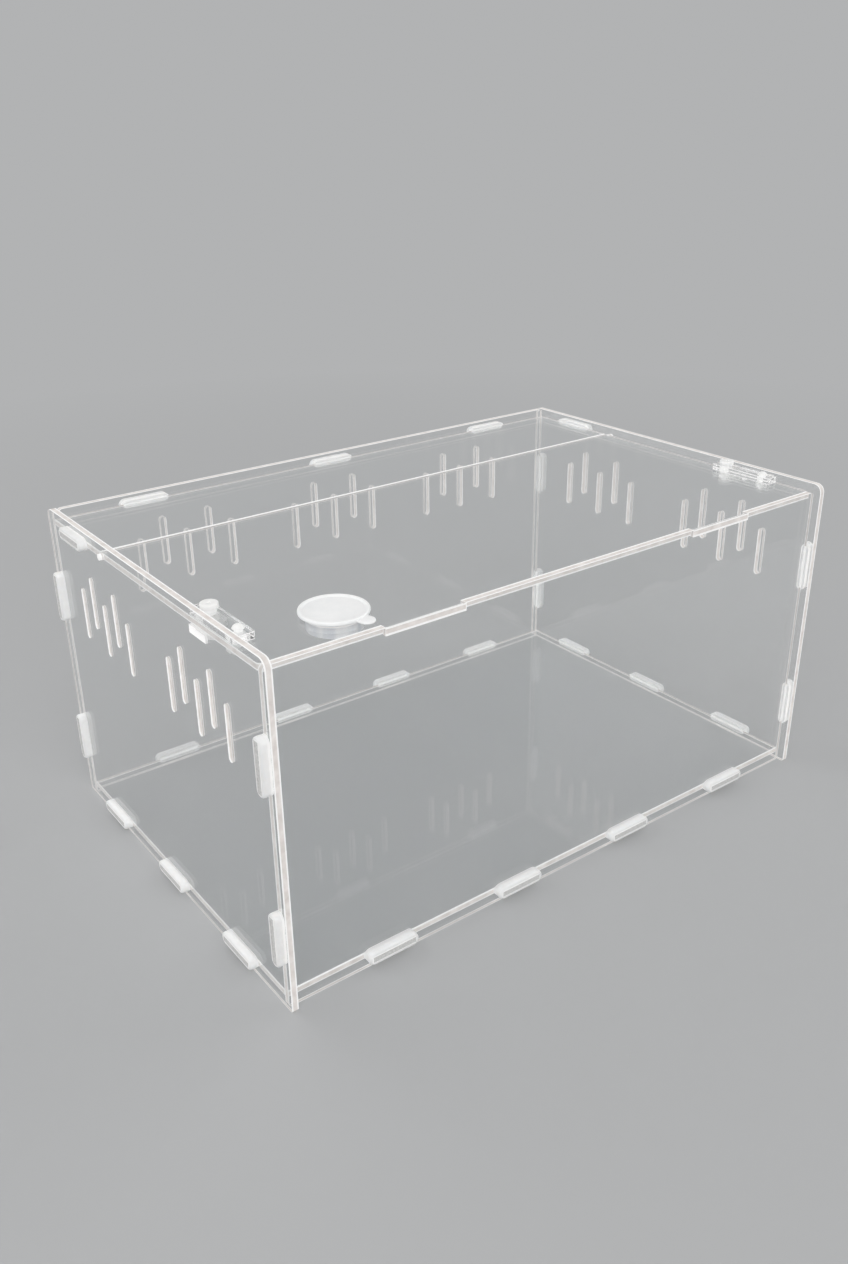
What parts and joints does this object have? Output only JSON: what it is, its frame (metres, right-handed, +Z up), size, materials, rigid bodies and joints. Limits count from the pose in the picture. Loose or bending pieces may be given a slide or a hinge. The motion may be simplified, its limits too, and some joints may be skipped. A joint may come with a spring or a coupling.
{
  "type": "reptile breeding box",
  "caption": "Clear low box of sheets joined by tenons in soft sleeves, with a hinged lid, turn latches, vent slots and a capped feeding port.",
  "frame": {"origin": "on the ground, under the middle of the box", "axes": "+X along the long side to the right, -Y to the front, where the latches are, +Z up"},
  "size_m": [0.306, 0.2, 0.1512],
  "materials": {
    "clear_sheet": "polished clear sheet with bright cut edges",
    "soft_sleeve": "soft milky silicone",
    "milky_port": "milky polythene, slightly see-through",
    "white_nylon": "natural white nylon"
  },
  "bodies": {
    "base": {"left_end_panel": "clear_sheet", "right_end_panel": "clear_sheet", "front_panel": "clear_sheet", "back_panel": "clear_sheet", "bottom_panel": "clear_sheet", "rear_top_strip": "clear_sheet", "floor_front_sleeve_1": "soft_sleeve", "floor_front_sleeve_2": "soft_sleeve", "floor_front_sleeve_3": "soft_sleeve", "floor_front_sleeve_4": "soft_sleeve", "floor_back_sleeve_1": "soft_sleeve", "floor_back_sleeve_2": "soft_sleeve", "floor_back_sleeve_3": "soft_sleeve", "floor_back_sleeve_4": "soft_sleeve", "floor_left_sleeve_1": "soft_sleeve", "floor_left_sleeve_2": "soft_sleeve", "floor_left_sleeve_3": "soft_sleeve", "floor_right_sleeve_1": "soft_sleeve", "floor_right_sleeve_2": "soft_sleeve", "floor_right_sleeve_3": "soft_sleeve", "front_left_sleeve_1": "soft_sleeve", "front_left_sleeve_2": "soft_sleeve", "front_right_sleeve_1": "soft_sleeve", "front_right_sleeve_2": "soft_sleeve", "back_left_sleeve_1": "soft_sleeve", "back_left_sleeve_2": "soft_sleeve", "back_right_sleeve_1": "soft_sleeve", "back_right_sleeve_2": "soft_sleeve", "strip_back_sleeve_1": "soft_sleeve", "strip_back_sleeve_2": "soft_sleeve", "strip_back_sleeve_3": "soft_sleeve", "strip_left_sleeve": "soft_sleeve", "strip_right_sleeve": "soft_sleeve"},
    "lid": {"lid_panel": "clear_sheet", "feeding_port_collar": "milky_port", "left_latch_bar": "clear_sheet", "left_bar_screw": "white_nylon", "left_bar_nut": "white_nylon", "right_latch_bar": "clear_sheet", "right_bar_screw": "white_nylon", "right_bar_nut": "white_nylon"},
    "left_latch": {"left_latch_knob": "white_nylon", "left_latch_tongue": "clear_sheet", "left_tongue_screw": "white_nylon"},
    "right_latch": {"right_latch_knob": "white_nylon", "right_latch_tongue": "clear_sheet", "right_tongue_screw": "white_nylon"},
    "port_cap": {"feeding_port_cap": "milky_port"}
  },
  "joints": [
    {"name": "lid_hinge", "type": "hinge", "parent": "base", "child": "lid", "pos_m": [0, 0.0384, 0.1445], "axis": [-1, 0, 0], "range_deg": [0, 110]},
    {"name": "left_latch_turn", "type": "hinge", "parent": "lid", "child": "left_latch", "pos_m": [-0.143, -0.0476, 0.1445], "axis": [0, 0, -1], "range_deg": [0, 90]},
    {"name": "right_latch_turn", "type": "hinge", "parent": "lid", "child": "right_latch", "pos_m": [0.143, -0.0476, 0.1445], "axis": [0, 0, 1], "range_deg": [0, 90]},
    {"name": "port_cap_lift", "type": "slide", "parent": "lid", "child": "port_cap", "axis": [0, 0, 1], "range_m": [0, 0.03]}
  ]
}
